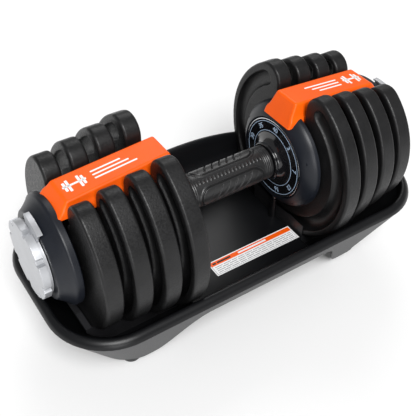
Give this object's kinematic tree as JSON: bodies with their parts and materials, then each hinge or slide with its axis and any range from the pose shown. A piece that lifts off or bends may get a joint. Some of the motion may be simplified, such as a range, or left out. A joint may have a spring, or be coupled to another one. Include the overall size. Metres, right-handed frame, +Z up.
{
  "type": "adjustable dumbbell",
  "caption": "Twist-handle adjustable dumbbell with tapered notched plates, selector discs and orange bridges, resting in a storage tray.",
  "frame": {"origin": "on the floor under the middle of the handle", "axes": "+X along the handle, +Y across it away from the labelled side of the tray, +Z up"},
  "size_m": [0.42, 0.192, 0.2189],
  "materials": {
    "tray_black": "fine textured satin, near black",
    "base_grey": "satin dark grey",
    "foot_rubber": "matt rubber",
    "screw_steel": "plated steel",
    "cradle_black": "matt",
    "label_white": "printed film, white with an orange band",
    "housing_blue": "satin, dark blue-grey",
    "back_black": "satin black",
    "cover_orange": "satin bright orange",
    "bar_steel": "bare steel",
    "bush_polymer": "self-lubricating polymer",
    "shaft_steel": "ground steel",
    "core_black": "gloss black",
    "grip_rubber": "moulded matt rubber with a raised pattern",
    "dial_black": "gloss black with pale printed figures",
    "disc_steel": "stamped steel",
    "star_silver": "light silver satin",
    "plate_black": "black coating with a fine texture"
  },
  "bodies": {
    "tray": {"tray_shell": "tray_black", "tray_base": "base_grey", "rubber_feet": "foot_rubber", "tray_screws": "screw_steel", "cradle_left": "cradle_black", "cradle_right": "cradle_black", "unlock_posts": "cradle_black", "care_label": "label_white"},
    "frame": {"inner_housing_left": "housing_blue", "inner_back_left": "back_black", "outer_housing_left": "housing_blue", "outer_back_left": "back_black", "bridge_cover_left": "cover_orange", "bridge_bar_left": "bar_steel", "inner_bushing_left": "bush_polymer", "outer_bushing_left": "bush_polymer", "lock_spring_left": "shaft_steel", "inner_housing_right": "housing_blue", "inner_back_right": "back_black", "outer_housing_right": "housing_blue", "outer_back_right": "back_black", "bridge_cover_right": "cover_orange", "bridge_bar_right": "bar_steel", "inner_bushing_right": "bush_polymer", "outer_bushing_right": "bush_polymer", "lock_spring_right": "shaft_steel", "bridge_screws": "screw_steel", "housing_screws": "screw_steel"},
    "selector": {"main_shaft": "shaft_steel", "handle_core": "core_black", "grip_sleeve": "grip_rubber", "handle_pins": "screw_steel", "retaining_clips": "screw_steel", "grip_collar_left": "core_black", "dial_left": "dial_black", "index_ring_left": "disc_steel", "end_star_left": "star_silver", "grip_collar_right": "core_black", "dial_right": "dial_black", "index_ring_right": "disc_steel", "end_star_right": "star_silver", "selector_disc_left_1": "disc_steel", "selector_disc_left_2": "disc_steel", "selector_disc_left_3": "disc_steel", "selector_disc_left_4": "disc_steel", "selector_disc_right_1": "disc_steel", "selector_disc_right_2": "disc_steel", "selector_disc_right_3": "disc_steel", "selector_disc_right_4": "disc_steel"},
    "plate_left_1": {"plate_left_1": "plate_black"},
    "plate_left_2": {"plate_left_2": "plate_black"},
    "plate_left_3": {"plate_left_3": "plate_black"},
    "plate_left_4": {"plate_left_4": "plate_black"},
    "lock_left": {"lock_yoke_left": "disc_steel"},
    "plate_right_1": {"plate_right_1": "plate_black"},
    "plate_right_2": {"plate_right_2": "plate_black"},
    "plate_right_3": {"plate_right_3": "plate_black"},
    "plate_right_4": {"plate_right_4": "plate_black"},
    "lock_right": {"lock_yoke_right": "disc_steel"}
  },
  "joints": [
    {"name": "dumbbell_lift", "type": "slide", "parent": "tray", "child": "frame", "axis": [0, 0, 1], "range_m": [0, 0.25]},
    {"name": "handle_twist", "type": "hinge", "parent": "frame", "child": "selector", "pos_m": [0, 0, 0.133], "axis": [1, 0, 0], "range_deg": [0, 320]},
    {"name": "plate_lift_left_1", "type": "slide", "parent": "tray", "child": "plate_left_1", "axis": [0, 0, 1], "range_m": [0, 0.25]},
    {"name": "plate_lift_left_2", "type": "slide", "parent": "tray", "child": "plate_left_2", "axis": [0, 0, 1], "range_m": [0, 0.25]},
    {"name": "plate_lift_left_3", "type": "slide", "parent": "tray", "child": "plate_left_3", "axis": [0, 0, 1], "range_m": [0, 0.25]},
    {"name": "plate_lift_left_4", "type": "slide", "parent": "tray", "child": "plate_left_4", "axis": [0, 0, 1], "range_m": [0, 0.25]},
    {"name": "lock_drop_left", "type": "slide", "parent": "frame", "child": "lock_left", "axis": [0, 0, -1], "range_m": [0, 0.004], "deforming": ["lock_spring_left"]},
    {"name": "plate_lift_right_1", "type": "slide", "parent": "tray", "child": "plate_right_1", "axis": [0, 0, 1], "range_m": [0, 0.25]},
    {"name": "plate_lift_right_2", "type": "slide", "parent": "tray", "child": "plate_right_2", "axis": [0, 0, 1], "range_m": [0, 0.25]},
    {"name": "plate_lift_right_3", "type": "slide", "parent": "tray", "child": "plate_right_3", "axis": [0, 0, 1], "range_m": [0, 0.25]},
    {"name": "plate_lift_right_4", "type": "slide", "parent": "tray", "child": "plate_right_4", "axis": [0, 0, 1], "range_m": [0, 0.25]},
    {"name": "lock_drop_right", "type": "slide", "parent": "frame", "child": "lock_right", "axis": [0, 0, -1], "range_m": [0, 0.004], "deforming": ["lock_spring_right"]}
  ],
  "couplings": [
    {"joint": "plate_lift_left_1", "follows": "dumbbell_lift", "ratio": 1},
    {"joint": "plate_lift_left_2", "follows": "dumbbell_lift", "ratio": 1},
    {"joint": "plate_lift_left_3", "follows": "dumbbell_lift", "ratio": 1},
    {"joint": "plate_lift_left_4", "follows": "dumbbell_lift", "ratio": 1},
    {"joint": "lock_drop_left", "follows": "dumbbell_lift", "ratio": 0.016},
    {"joint": "plate_lift_right_1", "follows": "dumbbell_lift", "ratio": 1},
    {"joint": "plate_lift_right_2", "follows": "dumbbell_lift", "ratio": 1},
    {"joint": "plate_lift_right_3", "follows": "dumbbell_lift", "ratio": 1},
    {"joint": "plate_lift_right_4", "follows": "dumbbell_lift", "ratio": 1},
    {"joint": "lock_drop_right", "follows": "dumbbell_lift", "ratio": 0.016}
  ]
}
